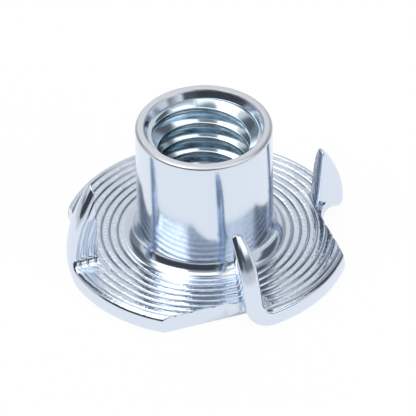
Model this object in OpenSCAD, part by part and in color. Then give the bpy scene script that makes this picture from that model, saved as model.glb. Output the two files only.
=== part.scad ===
// Four-prong tee nut, in millimetres.
// A threaded barrel is drawn up out of a round flange, and four prongs are sheared and bent up
// from the flange's rim, to bite into wood.
// The underside of the flange lies on z = 0 and the barrel rises along +Z. The prongs stand on
// the +X, +Y, -X and -Y axes, in that order, each bent up about a line parallel to its axis.

/* [Thread and barrel] */
// Major diameter of the thread
thread_d = 9.525; // [8:0.005:11]
// Pitch of the thread
thread_pitch = 1.5875; // [1:0.0005:2]
// Wall of the barrel outside the thread
wall_t = 1.1875; // [1:0.0125:1.6]
// Height of the whole nut, from the underside of the flange to the mouth
overall_h = 13.1; // [10:0.1:20]
// Width of the flat ring around the mouth, with its rounded outer edge
mouth_land = 0.75; // [0.4:0.05:0.85]
// Radius of the outer edge of the mouth
mouth_round = 0.3; // [0.1:0.05:0.35]
// Depth of the countersink
countersink_depth = 0.7; // [0.4:0.1:1.2]
// How far the foot of the countersink clears the thread all round
countersink_gap = 0.1; // [0.05:0.05:0.2]
// Height of the cone that leads from the countersink into the bore
lead_h = 0.5; // [0.3:0.1:1]
// Radius of the fillet between the barrel and the flange
foot_r = 1.2; // [0.6:0.1:1.6]
// Radius of the edge where the bore opens on the underside
entry_r = 1.2; // [0.6:0.1:1.5]

/* [Flange] */
// Diameter of the flange
flange_d = 25.4; // [24:0.1:30]
// Thickness of the sheet
sheet_t = 1.6; // [1.2:0.1:2]
// Radius of the upper edge of the rim
rim_round = 0.3; // [0.1:0.05:0.5]
// Radius of the lower edge of the rim
under_round = 0.15; // [0.05:0.05:0.3]
// Land between the fillet and the innermost groove in the upper face
groove_land = 0.52; // [0.3:0.01:0.7]
// Distance from one groove to the next
groove_pitch = 0.716; // [0.5:0.001:1]
// Width of a groove
groove_w = 0.2; // [0.1:0.05:0.3]
// Least distance of a groove from the rim
rim_land = 0.7; // [0.5:0.05:1.2]

/* [Prongs] */
// Width of a prong at its foot, which is how far the sheared cut lies inside the rim
prong_w = 2.55; // [2:0.05:3]
// How far each prong falls short of upright, in degrees
prong_lean = [13, 6, 3, 5]; // [0:1:18]
// Distance of the bend line from the axis that the prong stands on
bend_offset = 1.9; // [1.4:0.1:2.4]
// Radius inside the bend
bend_r = 1; // [0.6:0.1:1.4]
// Radius of the prong's tip
tip_r = 0.2; // [0.1:0.05:0.6]
// Radius of the notch between the prong and the cut
notch_r = 1.25; // [0.8:0.05:1.6]

/* [Hidden] */
$fn = 144;
// Radii of the barrel, its mouth, its bore and the foot of its countersink
barrel_r = thread_d / 2 + wall_t;
mouth_r = barrel_r - mouth_land;
bore_r = (thread_d - thread_pitch) / 2;
sink_r = thread_d / 2 + countersink_gap;
// Radius of the flange, and of its innermost and outermost grooves
flange_r = flange_d / 2;
groove_from = barrel_r + foot_r + groove_land;
groove_to = flange_r - rim_land;
// Distance of the sheared cut from the axis of the nut
cut_x = flange_r - prong_w;
// Height of the bend's centre line, and the side of an upright prong that faces the notch
bend_z = sheet_t + bend_r;
prong_side = bend_z - bend_offset;
// How far a cut runs past the surface that it opens
over = 0.5;
// How far the straight part of a prong laps into its bend, and how much the bend stands proud of it
lap = 0.05;
proud = 0.01;
// How far inside the cut the underside of the web starts to rise
web_root = 0.1;
// A colour like bright zinc plate
zinc = [0.76, 0.8, 0.86];

// The sliver that a round of radius r takes off a square corner, or that a fillet adds in one.
// side holds the signs of the directions from the corner to the centre of the arc.
module corner(at, side, r) {
    translate(at)
        difference() {
            polygon([[-over * side.x, -over * side.y], [r * side.x, -over * side.y],
                     [r * side.x, r * side.y], [-over * side.x, r * side.y]]);
            translate(r * side)
                circle(r);
        }
}

// Half the section of the blank: a round of sheet with its rim rounded and its grooves pressed in
module blank_section() {
    difference() {
        square([flange_r, sheet_t]);
        corner([flange_r, sheet_t], [-1, -1], rim_round);
        corner([flange_r, 0], [-1, 1], under_round);
        for (r = [groove_from:groove_pitch:groove_to])
            translate([r, sheet_t])
                circle(d = groove_w);
    }
}

// Half the section of the countersink, and of the cone below it that leads into the bore
module mouth_section() {
    sink_z = overall_h - countersink_depth;
    flare = (mouth_r - sink_r) / countersink_depth;
    polygon([[0, overall_h + over], [mouth_r + over * flare, overall_h + over], [sink_r, sink_z],
             [bore_r, sink_z - lead_h], [0, sink_z - lead_h]]);
}

// Half the section of the nut before its prongs are cut
module nut_section() {
    difference() {
        union() {
            blank_section();
            square([barrel_r, overall_h]);
            corner([barrel_r, sheet_t], [1, 1], foot_r);
        }
        corner([barrel_r, overall_h], [-1, -1], mouth_round);
        translate([0, -over])
            square([bore_r, overall_h + 2 * over]);
        corner([bore_r, 0], [1, 1], entry_r);
        mouth_section();
    }
}

// Everything outside the cut and beyond the bend line, which the punch frees from the sheet,
// with as much more behind the bend line as kept says
module freed_area(kept = 0) {
    translate([cut_x, -flange_r])
        square([flange_r, flange_r + bend_offset + kept]);
}

// What is cut out of the flange: the freed area, but for the web that rounds the notch
module punched_area() {
    difference() {
        freed_area();
        translate([cut_x - over, -prong_side])
            square([notch_r + over, prong_side + bend_offset + over]);
        corner([cut_x, -prong_side], [1, -1], notch_r);
    }
}

// The space under the web, whose underside rises from just inside the cut towards the prong
module under_web() {
    slope = notch_r / sheet_t;
    low_x = cut_x - web_root - over * slope;
    high_x = cut_x - web_root + (sheet_t + over) * slope;
    translate([0, bend_offset, 0])
        rotate([90, 0, 0])
            linear_extrude(bend_offset + prong_side + notch_r)
                polygon([[low_x, -over], [high_x, sheet_t + over], [high_x + over, -over]]);
}

// The corner that the round of the tip takes off, on a blank whose centre is at y = centre_y
module tip_corner(centre_y) {
    round_x = cut_x + tip_r;
    round_y = -sqrt(pow(flange_r - tip_r, 2) - pow(round_x, 2));
    out = (flange_r + over) / (flange_r - tip_r);
    difference() {
        polygon([[cut_x - over, centre_y + round_y], [round_x, centre_y + round_y],
                 [round_x * out, centre_y + round_y * out], [cut_x - over, centre_y - flange_r]]);
        translate([round_x, centre_y + round_y])
            circle(tip_r);
    }
}

// The straight part of a prong. It is the freed part of the blank, drawn back by the length
// of sheet that the bend takes up, and then turned up about the bend's centre line.
module prong_plate(angle) {
    taken_up = (bend_r + sheet_t / 2) * angle * PI / 180;
    translate([0, bend_offset, bend_z])
        rotate([-angle, 0, 0])
            translate([0, -bend_offset, -bend_z])
                intersection() {
                    translate([0, taken_up, 0])
                        rotate_extrude()
                            blank_section();
                    translate([0, 0, proud])
                        linear_extrude(sheet_t - 2 * proud)
                            difference() {
                                freed_area(lap);
                                tip_corner(taken_up);
                            }
                }
}

// The bend itself, which ends where the round flange does
module prong_bend(angle) {
    intersection() {
        translate([0, bend_offset, bend_z])
            rotate([0, 90, 180])
                rotate_extrude(angle = angle)
                    translate([bend_r, -flange_r])
                        square([sheet_t, flange_r - cut_x]);
        translate([0, 0, -over])
            cylinder(r = flange_r, h = bend_z + 2 * over);
    }
}

module tee_nut() {
    color(zinc)
        union() {
            difference() {
                rotate_extrude()
                    nut_section();
                for (k = [0:3])
                    rotate(90 * k) {
                        translate([0, 0, -over])
                            linear_extrude(sheet_t + 2 * over)
                                punched_area();
                        under_web();
                    }
            }
            for (k = [0:3])
                rotate(90 * k) {
                    prong_bend(90 - prong_lean[k]);
                    prong_plate(90 - prong_lean[k]);
                }
        }
}

tee_nut();
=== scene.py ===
# %% [markdown]
# # A four-prong tee nut
#
# A tee nut is one piece of sheet steel. A press draws a barrel up out of a round blank, presses
# rings into the flange, shears four prongs from the rim and bends them up, and then the barrel is
# threaded and the whole nut is plated with zinc.
#
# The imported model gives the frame. This script models the nut again with its fine detail, puts
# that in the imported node's place, and lights it in a small studio.

# %% Load the frame
import math

import bmesh
import bpy
from mathutils import Matrix, Vector


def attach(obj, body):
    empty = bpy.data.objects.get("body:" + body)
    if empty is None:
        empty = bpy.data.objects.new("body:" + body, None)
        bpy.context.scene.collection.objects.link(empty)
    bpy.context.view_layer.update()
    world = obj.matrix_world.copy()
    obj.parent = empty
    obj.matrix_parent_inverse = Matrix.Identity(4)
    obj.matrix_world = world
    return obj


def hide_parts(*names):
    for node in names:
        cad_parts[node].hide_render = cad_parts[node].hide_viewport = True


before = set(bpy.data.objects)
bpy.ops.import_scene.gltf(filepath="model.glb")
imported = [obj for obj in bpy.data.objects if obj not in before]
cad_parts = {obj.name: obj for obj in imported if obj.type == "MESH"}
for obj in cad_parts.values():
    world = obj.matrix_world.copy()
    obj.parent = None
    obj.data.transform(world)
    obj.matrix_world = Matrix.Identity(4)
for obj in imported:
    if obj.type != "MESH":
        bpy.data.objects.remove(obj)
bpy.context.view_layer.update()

# %% [markdown]
# ## The camera
#
# The nut stands far from a long lens, so its circles are seen as nearly true ellipses. The camera
# is set by its bearing, height and distance from the nut, and by the small angles by which it
# looks past the middle of the flange. The same numbers could be typed into the editor, but here
# they are turned into a matrix, so that each one stays a plain angle.

# %% Camera
MM = 0.001
IMAGE_PX = 416
FOCAL_PX = 5431.9
SENSOR_MM = 36
CAMERA_BEARING = math.radians(251)
CAMERA_HEIGHT = math.radians(39.2825)
CAMERA_DISTANCE = 476.0
LOOK_LEFT = -0.00043
LOOK_UP = 0.00674
LOOK_ROLL = 0.01584
GROUND_SHIFT = 0.1
CLIP_START = 0.01


def studio_camera():
    """The camera at its bearing, looking just past the middle of the flange."""
    out = Vector((math.cos(CAMERA_BEARING), math.sin(CAMERA_BEARING), 0))
    place = out * CAMERA_DISTANCE * math.cos(CAMERA_HEIGHT)
    place.z = CAMERA_DISTANCE * math.sin(CAMERA_HEIGHT)
    ahead = -place.normalized()
    right = ahead.cross(Vector((0, 0, 1))).normalized()
    up = right.cross(ahead)
    for axis, angle in ((up, LOOK_LEFT), (right, LOOK_UP), (ahead, LOOK_ROLL)):
        turn = Matrix.Rotation(angle, 3, axis)
        ahead, right, up = turn @ ahead, turn @ right, turn @ up
    place.z -= GROUND_SHIFT
    lens = bpy.data.cameras.new("studio_camera")
    lens.sensor_width = SENSOR_MM
    lens.lens = FOCAL_PX / IMAGE_PX * SENSOR_MM
    lens.clip_start = CLIP_START
    camera = bpy.data.objects.new("studio_camera", lens)
    bpy.context.scene.collection.objects.link(camera)
    facing = Matrix((right, up, -ahead)).transposed().to_4x4()
    camera.matrix_world = Matrix.Translation(place * MM) @ facing
    bpy.context.scene.camera = camera
    return camera


camera = studio_camera()
print("camera at", [round(v, 4) for v in camera.location], "lens", round(camera.data.lens, 1))

# %% [markdown]
# ## The sizes
#
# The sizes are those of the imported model, in millimetres, and the mesh is scaled to metres at the
# end. The thread is 3/8-16: its major diameter is 9.525 mm and its pitch 25.4 / 16 mm. Points
# nearer than `SAME` count as one point.

# %% Sizes in millimetres
THREAD_D = 9.525
PITCH = 1.5875
BARREL_R = 5.95
TOP_Z = 13.1
MOUTH_R = 5.2
MOUTH_ROUND = 0.3
SINK_R = 4.8625
SINK_DEPTH = 0.7
FOOT_R = 1.2
ENTRY_R = 1.2
FLANGE_R = 12.7
SHEET = 1.6
RIM_ROUND = 0.5
UNDER_ROUND = 0.15
GROOVE_FROM = 7.67
GROOVE_PITCH = 0.716
GROOVES = 7
GROOVE_W = 0.2
GROOVE_DEPTH = 0.1
CUT_X = 10.15
BEND_Y = 1.9
BEND_R = 1.0
BEND_Z = SHEET + BEND_R
LEANS = (13, 6, 3, 5)
NOTCH_R = 1.25
NOTCH_Y = BEND_Y - BEND_Z
MAJOR_R = THREAD_D / 2
BORE_R = MAJOR_R - PITCH / 2
QUARTER_STEPS = 72
ROUND_STEPS = 6
SAME = 0.001
TINY = 1e-5
print("barrel wall", round(BARREL_R - MAJOR_R, 3), "mm, bore radius", BORE_R, "mm")

# %% [markdown]
# ## Sections and a lathe
#
# Nearly everything on the nut is turned: a section in the radius and the height, spun about the
# axis. `arc` gives the points of a rounded corner and `lathe` spins a list of points with the
# spin operator. A screw modifier would do the same, but the operator leaves a plain mesh that can
# be cut and bent straight away.

# %% Section helpers
def arc(centre, radius, start, stop, steps):
    """Points on an arc in a section, between two angles in degrees, both ends included."""
    angles = [math.radians(start + (stop - start) * i / steps) for i in range(steps + 1)]
    return [(centre[0] + radius * math.cos(a), centre[1] + radius * math.sin(a)) for a in angles]


def lathe(bm, section, start, sweep, steps, rise=0.0):
    """Spins a section of (radius, height) points about Z. A rise makes a screw of it."""
    turn = Matrix.Rotation(start, 3, "Z")
    points = [bm.verts.new(turn @ Vector((r, 0, z))) for r, z in section]
    wire = [bm.edges.new(pair) for pair in zip(points, points[1:])]
    bmesh.ops.spin(bm, geom=points + wire, cent=(0, 0, 0), axis=(0, 0, 1),
                   dvec=(0, 0, rise / steps), angle=sweep, steps=steps, use_merge=False)


def weld(bm):
    """Merges the points that lie on each other."""
    bmesh.ops.remove_doubles(bm, verts=bm.verts[:], dist=SAME)


def add_mesh(bm, other):
    """Adds the mesh of another bmesh to bm, and frees the other."""
    carrier = bpy.data.meshes.new("carrier")
    other.to_mesh(carrier)
    bm.from_mesh(carrier)
    bpy.data.meshes.remove(carrier)
    other.free()


print("an arc of 4 steps has", len(arc((0, 0), 1, 0, 90, 4)), "points")

# %% [markdown]
# ## The flange's section
#
# Seven rings are pressed into the top of the flange. Each is a narrow valley, and the land
# between two valleys is very slightly crowned, which is why a highlight breaks into a row of
# short arcs. The valleys follow a cosine, so they have no sharp lip for the plating to bridge.
#
# The rim is a blanked edge. Its face bulges a little, and its upper edge is rounder than its
# lower one, so a bright band with a dark line below it runs round the nut.

# %% Flange section
LAND_CROWN = 0.008
RIM_CROWN = 0.06
RIM_STEPS = 6
RIM_CLEAR = 0.1
UNDER_STEPS = 4
FOOT_STRIP = 0.2
VALLEY_STEPS = 8
LAND_STEPS = 4
UNDERSIDE_RINGS = (11.7, 9.2)


def ring_profile(mid):
    """One valley, and the crowned land outside it, as points from the valley's inner edge on."""
    valley = [(mid + GROOVE_W * (i / VALLEY_STEPS - 0.5),
               SHEET - GROOVE_DEPTH * (1 - math.cos(2 * math.pi * i / VALLEY_STEPS)) / 2)
              for i in range(VALLEY_STEPS)]
    width = GROOVE_PITCH - GROOVE_W
    land = [(mid + GROOVE_W / 2 + width * i / LAND_STEPS,
             SHEET - LAND_CROWN * (1 - 4 * i / LAND_STEPS * (1 - i / LAND_STEPS)))
            for i in range(LAND_STEPS)]
    return valley + land


def rim_face(top, bottom):
    """The slightly bulged face of the rim, as the points between its two rounded edges."""
    shares = [i / RIM_STEPS for i in range(1, RIM_STEPS)]
    return [(FLANGE_R - RIM_CROWN * (1 - 2 * i) ** 2, top + (bottom - top) * i) for i in shares]


def flange_section():
    """The flange from the foot of the barrel's fillet over the rim to the underside."""
    start = BARREL_R + FOOT_R
    points = [(start, SHEET), (start + FOOT_STRIP, SHEET)]
    for i in range(GROOVES):
        points += ring_profile(GROOVE_FROM + GROOVE_PITCH * i)
    points = [p for p in points if p[0] < FLANGE_R - RIM_ROUND - RIM_CLEAR]
    edge = FLANGE_R - RIM_CROWN
    points += arc((edge - RIM_ROUND, SHEET - RIM_ROUND), RIM_ROUND, 90, 0, ROUND_STEPS)
    points += rim_face(SHEET - RIM_ROUND, UNDER_ROUND)
    points += arc((edge - UNDER_ROUND, UNDER_ROUND), UNDER_ROUND, 0, -90, UNDER_STEPS)
    return points + [(r, 0) for r in UNDERSIDE_RINGS] + [(start, 0)]


rim_section = flange_section()
print("flange section:", len(rim_section), "points")

# %% [markdown]
# ## Cutting a prong free
#
# A quarter of the flange is spun, with its prong on the X axis. Two planes mark the shear: one
# along the cut and one along the bend. The bisect operator splits the faces there, so the freed
# flap and the flange can be taken apart with matching edges. More planes beside the cut leave
# narrow strips, which are then rolled over, as sheared steel is.

# %% Cutting helpers
def faces_where(bm, test):
    """The faces whose centre passes a test."""
    return [f for f in bm.faces if test(f.calc_center_median())]


def slice_faces(bm, faces, point, normal):
    """Splits faces along a plane and keeps both sides."""
    geom = set(faces)
    for f in faces:
        geom.update(f.edges)
        geom.update(f.verts)
    bmesh.ops.bisect_plane(bm, geom=list(geom), dist=TINY, plane_co=point, plane_no=normal)


def is_freed(c):
    """Whether a point of the flat quarter lies beyond the cut and outside the bend line."""
    return c.x > CUT_X and c.y < BEND_Y


def cap_cut(bm):
    """Closes the sheared wall that lies in the plane of the cut."""
    corner = [v for v in bm.verts if abs(v.co.x - CUT_X) < SAME and abs(v.co.y - BEND_Y) < SAME]
    corner.sort(key=lambda v: v.co.z)
    bm.edges.new((corner[0], corner[-1]))
    rim = [e for e in bm.edges if len(e.link_faces) < 2
           and all(abs(v.co.x - CUT_X) < SAME and v.co.y < BEND_Y + SAME for v in e.verts)]
    bmesh.ops.contextual_create(bm, geom=rim)


print("a freed point:", is_freed(Vector((12, 0, 0))), " a kept one:", is_freed(Vector((9, 0, 0))))

# %% Quarter of the flange, cut
BEND_STEPS = 14
ROLL_STRIPS = (0.03, 0.07, 0.12, 0.18, 0.26)
EDGE_STRIPS = (0.02, 0.05)
NEAR_X = 8.5


def flat_quarter():
    """A quarter of the flange with its faces split along the cut, the bend line and the strips."""
    bm = bmesh.new()
    lathe(bm, rim_section, -math.pi / 4, math.pi / 2, QUARTER_STEPS)
    bmesh.ops.recalc_face_normals(bm, faces=bm.faces[:])
    slice_faces(bm, faces_where(bm, lambda c: c.x > NEAR_X), (0, BEND_Y, 0), (0, 1, 0))
    beside = lambda c: c.x > NEAR_X and c.y < BEND_Y
    slice_faces(bm, faces_where(bm, beside), (CUT_X, 0, 0), (1, 0, 0))
    for strip in EDGE_STRIPS:
        for side in (-1, 1):
            near = faces_where(bm, lambda c: beside(c) and c.z > SHEET / 2)
            slice_faces(bm, near, (CUT_X + side * strip, 0, 0), (1, 0, 0))
    for strip in ROLL_STRIPS:
        near = faces_where(bm, lambda c: is_freed(c) and c.z < SHEET / 2)
        slice_faces(bm, near, (CUT_X + strip, 0, 0), (1, 0, 0))
    return bm


quarter = flat_quarter()
print("flat quarter:", len(quarter.faces), "faces")

# %% [markdown]
# ## Bending a prong
#
# The flap stays flat sheet until it is bent. Along the bend the sheet's middle layer keeps its
# length, so a point's distance from the bend line becomes an angle first, and height after that.
# Moving the points of the flat flap by that rule carries the pressed rings round the bend with
# it, which a separate upright plate would not do. Shearing also draws the lower edge of the flap
# down into a soft round before the steel gives way; it shows on the smooth side of each prong.
#
# The point of the prong is not sharp. Its outline is rounded, its edges are domed over the last
# third of a millimetre, and the ringed side is drawn in towards it more than the smooth side.

# %% Bending helpers
ROLL_R = 0.26
ROLL_FADE = 1.5
EDGE_R = 0.05
TIP_R = 0.1
TIP_FROM = -5.8
TIP_DOME = 0.3
TIP_FLAT = 0.5
THIN_FROM = -4.3
THIN_RINGED = 0.6
THIN_SMOOTH = 0.05
THIN_CURVE = 1.5
TIP_REACH = 1.2
TIP_STRIPS = (0.02, 0.05, 0.1, 0.16, 0.24, 0.32, 0.45)


def ease(x):
    """Rises smoothly from 0 to 1 as x does."""
    x = min(max(x, 0.0), 1.0)
    return x * x * (3 - 2 * x)


def rolled(depth, radius):
    """How far a rolled edge falls away at a given distance inside the cut."""
    if depth >= radius:
        return 0.0
    return radius - math.sqrt(radius ** 2 - (radius - depth) ** 2)


def roll_edges(bm, side):
    """Rounds the edges along the cut. side is 1 on the flap and -1 on the flange."""
    for v in bm.verts:
        if v.co.y > BEND_Y - SAME:
            continue
        depth = side * (v.co.x - CUT_X)
        fade = ease((BEND_Y - v.co.y) / ROLL_FADE)
        if depth < -SAME:
            continue
        depth = max(depth, 0.0)
        if v.co.z > SHEET / 2:
            v.co.z -= rolled(depth, EDGE_R) * fade
        elif side > 0 and v.co.z < SHEET / 4:
            v.co.z += rolled(depth, ROLL_R) * fade


def round_tip(bm):
    """Rounds the flat flap's sharp tip, in its outline and across its thickness."""
    centre_x = CUT_X + TIP_R
    centre_y = -math.sqrt((FLANGE_R - TIP_R) ** 2 - centre_x ** 2)
    touch_x = centre_x * FLANGE_R / (FLANGE_R - TIP_R)
    for v in bm.verts:
        if v.co.y > TIP_FROM:
            continue
        sharp_y = -math.sqrt(FLANGE_R ** 2 - v.co.x ** 2)
        round_y = sharp_y
        if v.co.x < touch_x:
            round_y = centre_y - math.sqrt(max(TIP_R ** 2 - (v.co.x - centre_x) ** 2, 0.0))
        v.co.y = TIP_FROM + (v.co.y - TIP_FROM) * (TIP_FROM - round_y) / (TIP_FROM - sharp_y)
        depth = min((v.co.y - round_y) / TIP_DOME, 1.0)
        dome = TIP_FLAT + (1 - TIP_FLAT) * math.sqrt(max(1 - (1 - depth) ** 2, 0.0))
        near = ease(1 - (v.co.x - CUT_X) / TIP_REACH)
        v.co.z = SHEET / 2 + (v.co.z - SHEET / 2) * (1 - near * (1 - dome))


def thin_tip(bm):
    """Draws both sides of the flap in towards its tip, the ringed side further."""
    tip_y = -math.sqrt(FLANGE_R ** 2 - CUT_X ** 2)
    for v in bm.verts:
        share = max(THIN_FROM - v.co.y, 0.0) / (THIN_FROM - tip_y)
        drawn = share ** THIN_CURVE
        low, high = THIN_SMOOTH * drawn, SHEET - THIN_RINGED * drawn
        v.co.z = low + (high - low) * v.co.z / SHEET


def bend_up(bm, angle):
    """Turns the flat flap up about its bend line."""
    middle = BEND_R + SHEET / 2
    length = middle * angle
    for v in bm.verts:
        out = BEND_Y - v.co.y
        turn = min(out / middle, angle)
        past = max(out - length, 0.0)
        reach = BEND_Z - v.co.z
        v.co.y = BEND_Y - reach * math.sin(turn) - past * math.cos(turn)
        v.co.z = BEND_Z - reach * math.cos(turn) + past * math.sin(turn)


print("a rolled edge of", ROLL_R, "mm falls", round(rolled(0.0, ROLL_R), 2), "mm at the cut")

# %% Flange and flap from the quarter
def flange_part():
    """The flat quarter without its flap, with the sheared wall closed."""
    bm = quarter.copy()
    bmesh.ops.delete(bm, geom=faces_where(bm, is_freed), context="FACES")
    roll_edges(bm, -1)
    cap_cut(bm)
    return bm


def flap_part(angle):
    """The flap of the quarter, its wall closed, bent up by an angle."""
    bm = quarter.copy()
    bmesh.ops.delete(bm, geom=faces_where(bm, lambda c: not is_freed(c)), context="FACES")
    middle = BEND_R + SHEET / 2
    for i in range(1, BEND_STEPS + 1):
        slice_faces(bm, bm.faces[:], (0, BEND_Y - middle * angle * i / BEND_STEPS, 0), (0, 1, 0))
    for strip in TIP_STRIPS:
        slice_faces(bm, faces_where(bm, lambda c: c.y < TIP_FROM), (CUT_X + strip, 0, 0), (1, 0, 0))
    roll_edges(bm, 1)
    cap_cut(bm)
    round_tip(bm)
    thin_tip(bm)
    bend_up(bm, angle)
    return bm


def prong_quarter(k):
    """The quarter of the flange that carries prong k, turned to its place."""
    bm = flange_part()
    add_mesh(bm, flap_part(math.radians(90 - LEANS[k])))
    weld(bm)
    bmesh.ops.rotate(bm, verts=bm.verts[:], cent=(0, 0, 0),
                     matrix=Matrix.Rotation(math.pi / 2 * k, 3, "Z"))
    return bm


# %% [markdown]
# ## The web at the end of each cut
#
# Where a cut stops, the steel is pulled along with the prong as that bends up, and a thin web
# is left between the prong and the flange, with a round notch as its free edge. Its top climbs
# the smooth side of the prong, and its underside rises outwards until the web is thin. It runs
# into both the flange and the prong, so it is built as a closed solid of its own and joined by
# a Boolean union. Merging points would need the two meshes to match.

# %% Web at the end of each cut
WEB_ROOT = 0.1
WEB_OVERLAP = 0.6
WEB_THIN = 0.15
WEB_STRIP = 0.1
WEB_STEPS = 12
WEB_LOWER = 0.02
WEB_CLIMB = 0.9
WEB_FADE = 0.9
WEB_BURIED = 0.8


def web_outline():
    """The outline of the web, seen from above, with the notch's arc as its free edge."""
    back = BEND_Y + WEB_OVERLAP
    inside = CUT_X - WEB_OVERLAP
    outside = CUT_X + NOTCH_R
    round_edge = [(outside - NOTCH_R * math.sin(a), NOTCH_Y - NOTCH_R + NOTCH_R * math.cos(a))
                  for a in (math.pi / 2 * i / WEB_STEPS for i in range(WEB_STEPS + 1))]
    return [(inside, back), (inside, NOTCH_Y - NOTCH_R)] + round_edge[::-1] + [(outside, back)]


def web_climb(c):
    """How far the top of the web climbs the smooth side of its prong at a point."""
    if c.y > NOTCH_Y + WEB_BURIED:
        return 0.0
    near = min(max((c.y - NOTCH_Y + NOTCH_R) / NOTCH_R, 0.0), 1.0)
    return WEB_CLIMB * ease((c.x - CUT_X) / WEB_FADE) * (1 - math.sqrt(1 - near ** 2))


def web_solid():
    """The web of one prong. Its top runs up the prong, its underside rises to the prong's foot."""
    bm = bmesh.new()
    bm.faces.new([bm.verts.new((x, y, SHEET - WEB_LOWER)) for x, y in web_outline()])
    for i in range(WEB_STEPS):
        row = NOTCH_Y - NOTCH_R * (1 - math.sin(math.pi / 2 * (i + 1) / WEB_STEPS))
        slice_faces(bm, bm.faces[:], (0, row, 0), (0, 1, 0))
        slice_faces(bm, bm.faces[:], (CUT_X + WEB_FADE * i / WEB_STEPS, 0, 0), (1, 0, 0))
    for row in (WEB_BURIED, WEB_BURIED + WEB_STRIP):
        slice_faces(bm, bm.faces[:], (0, NOTCH_Y + row, 0), (0, 1, 0))
    grown = bmesh.ops.extrude_face_region(bm, geom=bm.faces[:], use_keep_orig=True)["geom"]
    lower = {v for v in grown if isinstance(v, bmesh.types.BMVert)}
    for v in bm.verts:
        if v in lower:
            rise = (v.co.x - CUT_X + WEB_ROOT) * SHEET / NOTCH_R
            v.co.z = min(max(rise, WEB_LOWER), SHEET - WEB_THIN)
        else:
            v.co.z += web_climb(v.co)
    bmesh.ops.triangulate(bm, faces=bm.faces[:])
    bmesh.ops.recalc_face_normals(bm, faces=bm.faces[:])
    return bm


def all_webs():
    """The four webs, turned to their places."""
    webs = bmesh.new()
    for k in range(4):
        web = web_solid()
        bmesh.ops.rotate(web, verts=web.verts[:], cent=(0, 0, 0),
                         matrix=Matrix.Rotation(math.pi / 2 * k, 3, "Z"))
        add_mesh(webs, web)
    return webs


def united(bm, other):
    """The union of two closed bmeshes, made by the Boolean modifier."""
    things = []
    for part in (bm, other):
        mesh = bpy.data.meshes.new("union_part")
        part.to_mesh(mesh)
        part.free()
        thing = bpy.data.objects.new("union_part", mesh)
        bpy.context.scene.collection.objects.link(thing)
        things.append(thing)
    join = things[0].modifiers.new("union", "BOOLEAN")
    join.operation = "UNION"
    join.solver = "EXACT"
    join.use_self = True
    join.object = things[1]
    ready = things[0].evaluated_get(bpy.context.evaluated_depsgraph_get())
    result = bmesh.new()
    result.from_mesh(ready.data)
    for thing in things:
        bpy.data.objects.remove(thing)
    return result


# %% [markdown]
# ## Joining the quarters
#
# The four quarters share the same steps along their edges, so their points lie on each other
# and merge without a seam. Each prong keeps its own lean, as on a pressed part.

# %% The four quarters, welded
def join_quarters():
    """The whole flange with its prongs."""
    bm = bmesh.new()
    for k in range(4):
        add_mesh(bm, prong_quarter(k))
    weld(bm)
    return bm


nut = join_quarters()
print("flange and prongs:", len(nut.faces), "faces,",
      sum(len(e.link_faces) == 1 for e in nut.edges), "open edges")

# %% [markdown]
# ## The barrel
#
# The barrel is the same sheet, drawn thin. A fillet leads up to its wall, the mouth is faced off
# flat, and a countersink leads the bolt in. The fillet is a little taller than it is wide, and
# it meets the flange at a crisp edge. Points set `SUPPORT` away from the other edges keep the
# smooth shading from spreading over the flats.

# %% Barrel
FOOT_TALL = 1.33
FOOT_FROM = 22
FOOT_STEPS = 18
MOUTH_EDGE = 0.04
SUPPORT = 0.05


def barrel_section():
    """The outside of the barrel, from the flange to the foot of the countersink."""
    edge = MOUTH_EDGE
    reach = FOOT_R / math.cos(math.radians(FOOT_FROM))
    foot = arc((BARREL_R + FOOT_R, 0), reach, 270, 180 + FOOT_FROM, FOOT_STEPS)
    points = [(r, SHEET + FOOT_TALL * (reach + z)) for r, z in foot]
    points += [(BARREL_R, points[-1][1] + SUPPORT), (BARREL_R, TOP_Z - MOUTH_ROUND - SUPPORT)]
    points += arc((BARREL_R - MOUTH_ROUND, TOP_Z - MOUTH_ROUND), MOUTH_ROUND, 0, 90, ROUND_STEPS)
    points += [(BARREL_R - MOUTH_ROUND - SUPPORT, TOP_Z), (MOUTH_R + edge + SUPPORT, TOP_Z)]
    points += [(MOUTH_R + edge, TOP_Z), (MOUTH_R, TOP_Z - edge)]
    foot_z = TOP_Z - SINK_DEPTH
    slope = (MOUTH_R - SINK_R) / (SINK_DEPTH - edge)
    points += [(MOUTH_R - slope * SUPPORT, TOP_Z - edge - SUPPORT)]
    return points + [(SINK_R + slope * SUPPORT, foot_z + SUPPORT), (SINK_R, foot_z)]


def full_lathe(bm, section):
    """Spins a section all the way round in four sweeps, on the same steps as the quarters."""
    for k in range(4):
        lathe(bm, section, math.pi / 2 * k - math.pi / 4, math.pi / 2, QUARTER_STEPS)
    weld(bm)


barrel = bmesh.new()
full_lathe(barrel, barrel_section())
print("barrel:", len(barrel.faces), "faces")

# %% [markdown]
# ## The thread
#
# An internal thread is one groove that climbs round the bore. Its section over one pitch is a
# trapezium with 60 degree flanks, a narrow flat at the bottom of the groove and a wider one at
# its crest. A column of such sections, one pitch apart, is spun once with a rise of one pitch,
# so each end meets the start of the next turn and the doubles merge. The last turn fades out
# under the countersink, and below, the round of the entry cuts the thread away where it is
# wider than the thread.

# %% Thread
THREAD_SHIFT = -0.107
CREST = PITCH / 4
ROOT = PITCH / 8
ENTRY_Z = 0.05
RUN_OUT_FROM = 7.25
RUN_OUT_TO = 7.8
LIP = 0.03
TOP_CUT = 1e-6


def wall_radius(z):
    """Radius of the round of the entry at a height, where it opens the bore."""
    if z < ENTRY_R:
        return BORE_R + ENTRY_R - math.sqrt(ENTRY_R ** 2 - (ENTRY_R - z) ** 2)
    return BORE_R


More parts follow.
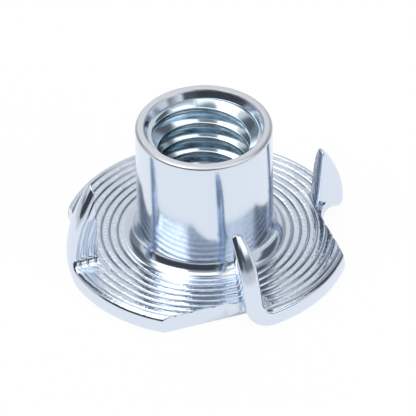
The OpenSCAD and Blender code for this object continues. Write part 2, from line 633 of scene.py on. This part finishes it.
def crest_share(v):
    """How much of its full height the thread has at a vertex. The last turn runs out."""
    turned = (math.atan2(v.co.y, v.co.x) + math.pi / 4) % (2 * math.pi) / (2 * math.pi)
    climbed = (v.co.z - THREAD_SHIFT) / PITCH - turned
    root_mid = 1 - (PITCH + CREST) / (2 * PITCH)
    turns = math.floor(climbed + root_mid) + turned
    return ease((RUN_OUT_TO - turns) / (RUN_OUT_TO - RUN_OUT_FROM))


def thread_column():
    """The sections of the thread, one above the other, from below the bore to above it."""
    flank = (PITCH - CREST - ROOT) / 2
    slant = (MAJOR_R - BORE_R) / flank
    up = CREST + flank + ROOT
    small, large = slant * LIP / 2, slant * LIP * 2
    steps = [(LIP, BORE_R), (CREST - LIP, BORE_R),
             (CREST + LIP / 2, BORE_R + small), (CREST + LIP * 2, BORE_R + large),
             (CREST + flank - LIP * 2, MAJOR_R - large), (CREST + flank, MAJOR_R - small),
             (CREST + flank + LIP, MAJOR_R), (up - LIP, MAJOR_R),
             (up, MAJOR_R - small), (up + LIP * 2, MAJOR_R - large),
             (PITCH - LIP * 2, BORE_R + large), (PITCH - LIP / 2, BORE_R + small)]
    turns = math.ceil(TOP_Z / PITCH) + 1
    return [(r, z + PITCH * (n - 1) + THREAD_SHIFT) for n in range(turns) for z, r in steps]


def threaded_bore():
    """The bore with its thread, from the underside to the foot of the countersink."""
    bm = bmesh.new()
    steps = 4 * QUARTER_STEPS
    lathe(bm, thread_column(), -math.pi / 4, 2 * math.pi, steps, rise=PITCH)
    weld(bm)
    for v in bm.verts:
        share = crest_share(v)
        flat = Vector((v.co.x, v.co.y, 0))
        z = max(v.co.z, ENTRY_Z)
        radius = wall_radius(z)
        if z > ENTRY_Z:
            radius = max(MAJOR_R - (MAJOR_R - flat.length) * share, radius)
        v.co = flat.normalized() * radius
        v.co.z = z
    weld(bm)
    bmesh.ops.dissolve_degenerate(bm, edges=bm.edges[:], dist=TINY)
    top = TOP_Z - SINK_DEPTH
    bmesh.ops.bisect_plane(bm, geom=bm.verts[:] + bm.edges[:] + bm.faces[:], dist=TOP_CUT,
                           plane_co=(0, 0, top), plane_no=(0, 0, 1), clear_outer=True)
    rim = [e for e in bm.edges if len(e.link_faces) == 1
           and min(v.co.z for v in e.verts) > top - SAME]
    ledge = bmesh.ops.extrude_edge_only(bm, edges=rim)["geom"]
    for v in [g for g in ledge if isinstance(g, bmesh.types.BMVert)]:
        step = round(math.atan2(v.co.y, v.co.x) / (2 * math.pi) * steps)
        turn = 2 * math.pi * step / steps
        v.co = (SINK_R * math.cos(turn), SINK_R * math.sin(turn), top)
    weld(bm)
    bmesh.ops.dissolve_degenerate(bm, edges=bm.edges[:], dist=TINY)
    return bm


bore = threaded_bore()
print("thread:", len(bore.faces), "faces,",
      sum(len(e.link_faces) == 1 for e in bore.edges), "open edges")

# %% [markdown]
# ## The underside, and the whole nut
#
# The drawn entry turns out into the flat underside. Every turned section ends on the same steps,
# so the barrel, the thread, the underside and the flange close into one solid when their
# points are merged, and the webs are united with that.

# %% Underside and assembly
ENTRY_STEPS = 3


def underside_section():
    """The rest of the entry's round, and the underside out to the flange's quarters."""
    dip = math.degrees(math.asin((ENTRY_R - ENTRY_Z) / ENTRY_R))
    points = arc((BORE_R + ENTRY_R, ENTRY_R), ENTRY_R, 180 + dip, 270, ENTRY_STEPS)
    return points + [(BARREL_R + FOOT_R, 0)]


underside = bmesh.new()
full_lathe(underside, underside_section())
for piece in (barrel, bore, underside):
    add_mesh(nut, piece)
weld(nut)
bmesh.ops.recalc_face_normals(nut, faces=nut.faces[:])
nut = united(nut, all_webs())
print("whole nut:", len(nut.faces), "faces,",
      sum(len(e.link_faces) != 2 for e in nut.edges), "bad edges")

# %% Nut object
SHARP_ANGLE = math.radians(40)


def nut_object(bm, name):
    """Turns a bmesh in millimetres into an object in metres, smooth but for its sharp edges."""
    bmesh.ops.triangulate(bm, faces=[f for f in bm.faces if len(f.verts) > 4])
    bmesh.ops.scale(bm, verts=bm.verts[:], vec=(MM, MM, MM))
    mesh = bpy.data.meshes.new(name)
    bm.to_mesh(mesh)
    bm.free()
    mesh.shade_smooth()
    mesh.set_sharp_from_angle(angle=SHARP_ANGLE)
    thing = bpy.data.objects.new(name, mesh)
    bpy.context.scene.collection.objects.link(thing)
    return thing


nut_piece = nut_object(nut, "tee_nut_plated")
print(nut_piece.name, "has", sum(len(p.vertices) - 2 for p in nut_piece.data.polygons), "triangles")

# %% [markdown]
# ## Shader maths as expressions
#
# Patterns and lights are worked out from coordinates, which takes many Math nodes. The class
# below holds one socket and overloads the operators, so that `1 - mask * 0.5` adds the two nodes
# it needs. Every other kind of node comes from the one method `add`.

# %% Node graph
class Number:
    """A value on a socket of a node graph, for use in expressions."""

    def __init__(self, graph, socket):
        self.graph = graph
        self.socket = socket

    def maths(self, operation, *values):
        """The result of a Math node on some values."""
        return self.graph.add("ShaderNodeMath", {"operation": operation}, dict(enumerate(values)))

    def __add__(self, other):
        return self.maths("ADD", self, other)

    def __radd__(self, other):
        return self.maths("ADD", other, self)

    def __sub__(self, other):
        return self.maths("SUBTRACT", self, other)

    def __rsub__(self, other):
        return self.maths("SUBTRACT", other, self)

    def __mul__(self, other):
        return self.maths("MULTIPLY", self, other)

    def __truediv__(self, other):
        return self.maths("DIVIDE", self, other)

    def above(self, edge, soft):
        """Rises from 0 to 1 as the value passes an edge, over a width of soft."""
        return self.graph.add("ShaderNodeMapRange", {"interpolation_type": "SMOOTHSTEP"},
                              {0: self, 1: edge - soft / 2, 2: edge + soft / 2, 3: 0.0, 4: 1.0})


class Graph:
    """A node tree that nodes are added to, each with its settings and its inputs."""

    def __init__(self, tree):
        self.tree = tree

    def add(self, kind, settings=None, inputs=None, output=0):
        """One output of a new node, with its settings made and its inputs fed."""
        node = self.tree.nodes.new(kind)
        for name, value in (settings or {}).items():
            setattr(node, name, value)
        for name, value in (inputs or {}).items():
            self.feed(node.inputs[name], value)
        return Number(self, node.outputs[output])

    def named(self, kind, output):
        """An output of a node that has no inputs to set, by its name."""
        return Number(self, self.tree.nodes.new(kind).outputs[output])

    def feed(self, socket, value):
        """Links a Number to a socket, or sets the socket to a plain value."""
        if isinstance(value, Number):
            self.tree.links.new(value.socket, socket)
        else:
            socket.default_value = value

    def mix(self, factor, first, second):
        """A colour between two others."""
        inputs = {"Factor": factor, 6: first, 7: second}
        return self.add("ShaderNodeMix", {"data_type": "RGBA"}, inputs, output=2)

    def split(self, vector):
        """The three numbers of a vector."""
        first = self.add("ShaderNodeSeparateXYZ", {}, {0: vector})
        node = first.socket.node
        return [Number(self, node.outputs[i]) for i in range(3)]


print("node maths ready")

# %% [markdown]
# ## The plating
#
# Bright zinc is a cool, pale metal. On the turned flange it keeps very fine rings and a slight
# grain, and everywhere it has a soft mottle. Its colour is darkened in the pressed rings, which is
# painted shade. The faced mouth is rougher and warmer, and the thread is bluer. All of it is
# worked out from the place on the nut, so no picture has to be wrapped round the mesh.

# %% Zinc plate
ZINC = (0.71, 0.78, 0.88, 1)
FACED = (0.76, 0.78, 0.82, 1)
IN_THREAD = (0.68, 0.8, 0.88, 1)
# the colour and the share of the painted shade in the valleys of the pressed rings
PAINTED_RING_SHADE_COLOUR = (0.1, 0.12, 0.17, 1)
PAINTED_RING_SHADE_SHARE = 0.32
TURNED_FINE = 9.0
TURNED_COARSE = 3.0
TURNED_SLOPE = 0.13
MOTTLE_MM = 1.2
MOTTLE_DEPTH = 0.004
GRAIN_MM = 0.26
GRAIN_DEPTH = 0.012
PLATE_ROUGH = 0.13
FACED_ROUGH = 0.25
# the masks below are (edge, softness) pairs, in millimetres but for the normal's
FLANGE_INNER = (7.2, 0.3)
FLANGE_LEVEL = (0.6, 0.2)
FLANGE_TOP = (2.0, 0.2)
MOUTH_BAND = (TOP_Z - 0.15, 0.1)
RING_LIP = (SHEET - 0.05, 0.04)
RING_FLOOR = (SHEET - 2 * GROOVE_DEPTH, 0.02)
BORE_EDGE = (MAJOR_R + 0.1, 0.05)
SINK_EDGE = (TOP_Z - SINK_DEPTH, 0.05)


def zinc_plate():
    """Bright zinc plate over turned and drawn steel."""
    material = bpy.data.materials.new("zinc_plate_bright")
    material.use_nodes = True
    graph = Graph(material.node_tree)
    shader = material.node_tree.nodes["Principled BSDF"]
    shader.inputs["Metallic"].default_value = 1
    place = graph.named("ShaderNodeTexCoord", "Object")
    place = graph.add("ShaderNodeVectorMath", {"operation": "SCALE"}, {0: place, "Scale": 1 / MM})
    x, y, z = graph.split(place)
    square = x * x + y * y
    radius = square.maths("SQRT", square)
    outward = graph.add("ShaderNodeCombineXYZ", {}, {0: x / radius, 1: y / radius})
    normal = graph.named("ShaderNodeNewGeometry", "Normal")
    nz = graph.split(normal)[2]

    def ripple(per_mm):
        """Fine rings about the axis, as numbers about nought."""
        noise = graph.add("ShaderNodeTexNoise", {"noise_dimensions": "4D"},
                          {"Vector": place, "W": radius * per_mm, "Scale": 1.0, "Detail": 1.0})
        return noise - 0.5

    on_flange = radius.above(*FLANGE_INNER) * nz.above(*FLANGE_LEVEL)
    on_flange = on_flange * (1 - z.above(*FLANGE_TOP))
    on_mouth = z.above(*MOUTH_BAND)
    slope = (ripple(TURNED_FINE) + ripple(TURNED_COARSE)) * TURNED_SLOPE * on_flange
    tilt = graph.add("ShaderNodeVectorMath", {"operation": "SCALE"}, {0: outward, "Scale": slope})
    turned = graph.add("ShaderNodeVectorMath", {"operation": "ADD"}, {0: normal, 1: tilt})
    turned = graph.add("ShaderNodeVectorMath", {"operation": "NORMALIZE"}, {0: turned})
    mottle = graph.add("ShaderNodeTexNoise", {},
                       {"Vector": place, "Scale": 1 / MOTTLE_MM, "Detail": 3.0})
    grain = graph.add("ShaderNodeTexNoise", {},
                      {"Vector": place, "Scale": 1 / GRAIN_MM, "Detail": 1.0})
    height = mottle * MOTTLE_DEPTH + grain * GRAIN_DEPTH * on_flange
    bumped = graph.add("ShaderNodeBump", {}, {"Strength": 1.0, "Distance": MM,
                                              "Height": height, "Normal": turned})
    graph.feed(shader.inputs["Normal"], bumped)
    graph.feed(shader.inputs["Roughness"], PLATE_ROUGH + on_mouth * FACED_ROUGH)
    # painted shade: the base colour is darkened in the valleys of the pressed rings
    painted_ring_shade_mask = on_flange * (1 - z.above(*RING_LIP)) * z.above(*RING_FLOOR)
    plate = graph.mix(painted_ring_shade_mask * PAINTED_RING_SHADE_SHARE, ZINC, PAINTED_RING_SHADE_COLOUR)
    in_bore = (1 - radius.above(*BORE_EDGE)) * (1 - z.above(*SINK_EDGE))
    plate = graph.mix(in_bore, plate, IN_THREAD)
    plate = graph.mix(on_mouth, plate, FACED)
    graph.feed(shader.inputs["Base Color"], plate)
    return material


nut_piece.data.materials.append(zinc_plate())
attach(nut_piece, "root")
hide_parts("tee_nut")

# %% [markdown]
# ## The studio
#
# Polished metal shows what stands round it, so the studio matters more than the lamps. The world
# is a pale room with soft panels of light overhead at the left and the right, and the darker gaps
# that are left between them. Each panel is a bearing, a height and a size, seen from the camera's
# side, and its edge is soft. The camera itself sees plain white behind the nut.

# %% Panels of the room
SIDE_SOFT = 9
EDGE_SOFT = 6
LEAST_LEVEL = 0.0001
OVERHEAD = 90


def panel_mask(graph, ray, bearing, half_width, low, high):
    """1 where a ray meets a soft-edged panel that spans a range of bearings and of heights."""
    x, y, z = graph.split(ray)
    turn = CAMERA_BEARING + math.radians(bearing)
    flat = 1 - z * z
    level = flat.maths("SQRT", flat.maths("MAXIMUM", flat, LEAST_LEVEL))
    towards = (x * math.cos(turn) + y * math.sin(turn)) / level
    swing = towards.maths("ARCCOSINE", towards) * math.degrees(1)
    lift = z.maths("ARCSINE", z) * math.degrees(1)
    mask = (1 - swing.above(half_width, SIDE_SOFT)) * lift.above(low, EDGE_SOFT)
    if high < OVERHEAD:
        mask = mask * (1 - lift.above(high, EDGE_SOFT))
    return mask


ROOM_LEVEL = 0.76
WHITE = (1, 1, 1, 1)
GAP_TINT = (0.88, 1, 1.18, 1)
TINT_TO = 0.4
TINT_SOFT = 0.8
# bearing from the camera's side (anticlockwise seen from above), half width, lowest and highest
# height in degrees, and the panel's level
PANELS = (
    (-43, 61, -1, 37, 0.06),
    (44, 24, -14, 12, 0.2),
    (25, 13, 8, 21, 0.08),
    (54, 14, 14, 30, 1.4),
    (-94, 11, 6, 32, 0.8),
    (-126, 16, 0, 30, 0.25),
    (36, 14, 24, 36, 1.3),
    (-4, 28, 35, 49, 0.35),
    (-125, 18, 28, 56, 0.12),
    (-155, 12, 43, 57, 0.15),
    (-61, 29, 36, 73, 2.4),
    (-1, 31, 50, 72, 1.5),
    (-105, 20, 56, 73, 1.6),
    (-125, 40, 60, 84, 1.7),
    (72, 28, 47, 74, 1.6),
    (114, 24, 10, 50, 0.12),
    (148, 22, 20, 62, 0.42),
    (170, 14, 46, 62, 0.3),
    (165, 30, 62, 90, 0.55),
    (-172, 9, 43, 66, 2.0),
    (0, 45, 71, 86, 0.2),
)


def studio_world():
    """The pale room with its panels, and plain white behind the nut."""
    world = bpy.data.worlds.new("studio")
    bpy.context.scene.world = world
    world.use_nodes = True
    graph = Graph(world.node_tree)
    ray = graph.named("ShaderNodeTexCoord", "Generated")
    level = ROOM_LEVEL
    for bearing, half_width, low, high, target in PANELS:
        mask = panel_mask(graph, ray, bearing, half_width, low, high)
        level = level + mask * (target - level)
    camera_ray = graph.named("ShaderNodeLightPath", "Is Camera Ray")
    background = world.node_tree.nodes["Background"]
    tint = graph.mix(level.above(TINT_TO, TINT_SOFT), GAP_TINT, WHITE)
    graph.feed(background.inputs["Color"], graph.mix(camera_ray, tint, WHITE))
    graph.feed(background.inputs["Strength"], level + camera_ray * (1 - level))
    return world


world = studio_world()
print("world nodes:", len(world.node_tree.nodes))

# %% [markdown]
# ## The floor
#
# The nut stands on plain white paper. To the camera the paper glows, so that it runs into the
# white behind and only a soft shadow is left. To the metal it glows only in a band round the nut,
# which is painted light: the glow is left off under the nut as a painted shadow, and well away
# from the nut the glow stops, so that the paper is dim again.

# %% Floor
FLOOR_SIZE = 0.6
FLOOR_DROP = 0.00001
FLOOR_WHITE = 0.85
FLOOR_GLOW = 1.03
GLOW_SHARE = 0.9
# the soft edge of the painted shadow under the nut, and where the band of painted glow ends
PAINTED_SHADOW_SOFT = 3
PAINTED_GLOW_TO = 38
PAINTED_GLOW_SOFT = 14


def studio_floor():
    """A plain white floor, which shows to the camera as white but for the nut's shadow."""
    bm = bmesh.new()
    bmesh.ops.create_grid(bm, x_segments=1, y_segments=1, size=FLOOR_SIZE)
    mesh = bpy.data.meshes.new("studio_floor")
    bm.to_mesh(mesh)
    bm.free()
    floor = bpy.data.objects.new("studio_floor", mesh)
    floor.location.z = -FLOOR_DROP
    bpy.context.scene.collection.objects.link(floor)
    material = bpy.data.materials.new("studio_floor")
    material.use_nodes = True
    tree = material.node_tree
    tree.nodes.remove(tree.nodes["Principled BSDF"])
    graph = Graph(tree)
    paper = graph.add("ShaderNodeBsdfDiffuse", {}, {"Color": (FLOOR_WHITE,) * 3 + (1,)})
    glow = graph.add("ShaderNodeEmission", {}, {"Color": WHITE, "Strength": FLOOR_GLOW})
    seen = graph.named("ShaderNodeLightPath", "Is Camera Ray")
    shiny = graph.named("ShaderNodeLightPath", "Is Glossy Ray")
    x, y, _ = graph.split(graph.named("ShaderNodeTexCoord", "Object"))
    square = x * x + y * y
    away = square.maths("SQRT", square)
    # painted shadow: the glow to the metal is left off on the paper under the nut, and it stops
    # well away from it
    near = away.above(CUT_X * MM, PAINTED_SHADOW_SOFT * MM)
    past_painted_glow = away.above(PAINTED_GLOW_TO * MM, PAINTED_GLOW_SOFT * MM)
    shown = seen.maths("MAXIMUM", seen, shiny * (near * (1 - past_painted_glow)))
    mixed = graph.add("ShaderNodeMixShader", {}, {0: shown * GLOW_SHARE, 1: paper, 2: glow})
    graph.feed(tree.nodes["Material Output"].inputs["Surface"], mixed)
    mesh.materials.append(material)
    return floor


floor = studio_floor()
bpy.context.scene.view_settings.view_transform = "Standard"
print("floor:", floor.name)
